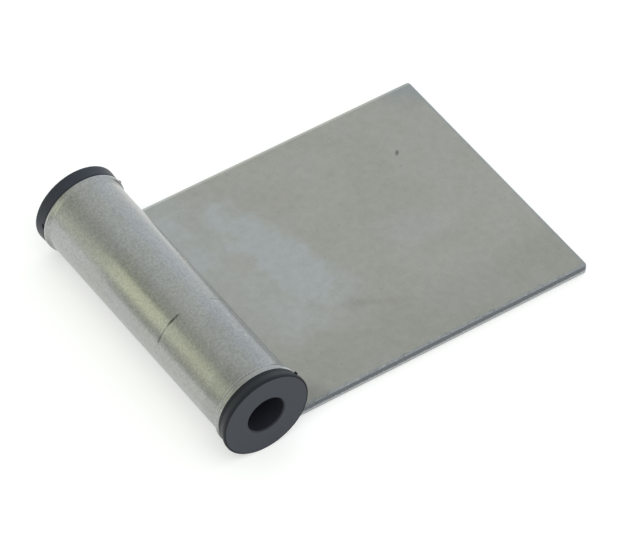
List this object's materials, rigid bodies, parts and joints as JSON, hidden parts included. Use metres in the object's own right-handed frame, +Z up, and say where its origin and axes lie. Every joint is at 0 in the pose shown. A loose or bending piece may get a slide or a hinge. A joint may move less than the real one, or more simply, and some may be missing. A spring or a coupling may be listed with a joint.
{
  "type": "weld-on barrel hinge half",
  "caption": "Half of a weld-on barrel hinge: a steel barrel tube welded along a flat steel leaf, with a flanged plastic bush in each end for a pin.",
  "frame": {"origin": "on the pin axis, at the middle of the barrel", "axes": "+Y along the pin axis from the near bush to the far bush, +X from the barrel out along the leaf, +Z up from the leaf towards the barrel's side"},
  "size_m": [0.1364, 0.102, 0.0298],
  "materials": {
    "barrel_steel": "bare drawn tube, satin with fine mottled grain",
    "leaf_steel": "bare rolled plate, matt warm grey with cool cloudy patches",
    "weld_metal": "as-laid weld bead, rippled and dull",
    "bush_plastic": "moulded, matt dark blue-grey"
  },
  "bodies": {
    "root": {"barrel_tube": "barrel_steel", "leaf_plate": "leaf_steel", "corner_weld": "weld_metal", "underside_weld": "weld_metal", "near_bush": "bush_plastic", "far_bush": "bush_plastic"}
  },
  "joints": []
}
